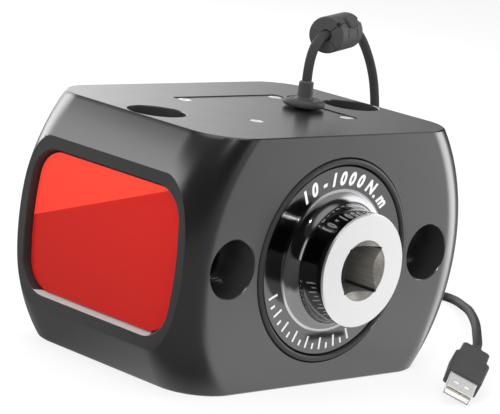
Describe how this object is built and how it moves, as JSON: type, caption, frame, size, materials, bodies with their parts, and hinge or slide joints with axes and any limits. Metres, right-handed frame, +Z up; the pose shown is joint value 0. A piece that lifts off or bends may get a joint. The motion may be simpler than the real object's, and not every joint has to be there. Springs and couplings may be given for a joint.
{
  "type": "digital torque analyser",
  "caption": "Black metal block with bulged sides, a square drive torque sensor in its round front dial, a glossy side panel, mounting holes and a USB lead with a clip-on ferrite.",
  "frame": {"origin": "middle of the block's flat base, under the crossing of the block's two middle planes", "axes": "+Z up, -Y out of the square drive, +X along the block's width, away from the side with the panel"},
  "size_m": [0.2587, 0.1583, 0.1432],
  "materials": {
    "block_black": "machined, satin black anodised",
    "badge_red": "gloss",
    "drive_steel": "turned and polished, bright end face, dark dial",
    "seal_rubber": "moulded",
    "bolt_black": "blackened",
    "screw_steel": "bright zinc",
    "gauge_amber": "foil",
    "board_green": "lacquered",
    "chip_black": "moulded",
    "insert_white": "moulded",
    "lead_black": "soft moulded sheath",
    "case_black": "moulded",
    "ferrite_grey": "sintered",
    "shell_steel": "nickel plated sheet",
    "contact_gold": "gold flash"
  },
  "bodies": {
    "analyser": {"housing_block": "block_black", "badge_panel": "badge_red", "torque_transducer": "drive_steel", "dial_seal": "seal_rubber", "transducer_bolt_1": "bolt_black", "transducer_bolt_2": "bolt_black", "transducer_bolt_3": "bolt_black", "transducer_bolt_4": "bolt_black", "transducer_bolt_5": "bolt_black", "transducer_bolt_6": "bolt_black", "transducer_bolt_7": "bolt_black", "transducer_bolt_8": "bolt_black", "dowel_pin_1": "screw_steel", "dowel_pin_2": "screw_steel", "strain_gauge_1": "gauge_amber", "strain_gauge_2": "gauge_amber", "strain_gauge_3": "gauge_amber", "strain_gauge_4": "gauge_amber", "gauge_wires": "lead_black", "cover_plate": "block_black", "cover_screw_1": "screw_steel", "cover_screw_2": "screw_steel", "cover_screw_3": "screw_steel", "cover_screw_4": "screw_steel", "cover_gasket": "seal_rubber", "circuit_board": "board_green", "board_screw_1": "screw_steel", "board_screw_2": "screw_steel", "board_screw_3": "screw_steel", "board_screw_4": "screw_steel", "processor_chip": "chip_black", "converter_chip": "chip_black", "memory_chip": "chip_black", "crystal": "screw_steel", "board_connector": "insert_white", "cable_gland": "seal_rubber", "gland_nut": "chip_black", "usb_lead": "lead_black", "ferrite_case_fixed": "case_black", "ferrite_core_fixed": "ferrite_grey", "usb_plug_body": "lead_black", "usb_plug_shell": "shell_steel", "usb_plug_tongue": "insert_white", "usb_contact_1": "contact_gold", "usb_contact_2": "contact_gold", "usb_contact_3": "contact_gold", "usb_contact_4": "contact_gold"},
    "ferrite_lid": {"ferrite_case_hinged": "case_black", "ferrite_core_hinged": "ferrite_grey"}
  },
  "joints": [
    {"name": "ferrite_clamp_hinge", "type": "hinge", "parent": "analyser", "child": "ferrite_lid", "pos_m": [0.05126, 0.0167, 0.12892], "axis": [-0.9204, -0.3907, -0.0157], "range_deg": [0, 110]}
  ]
}
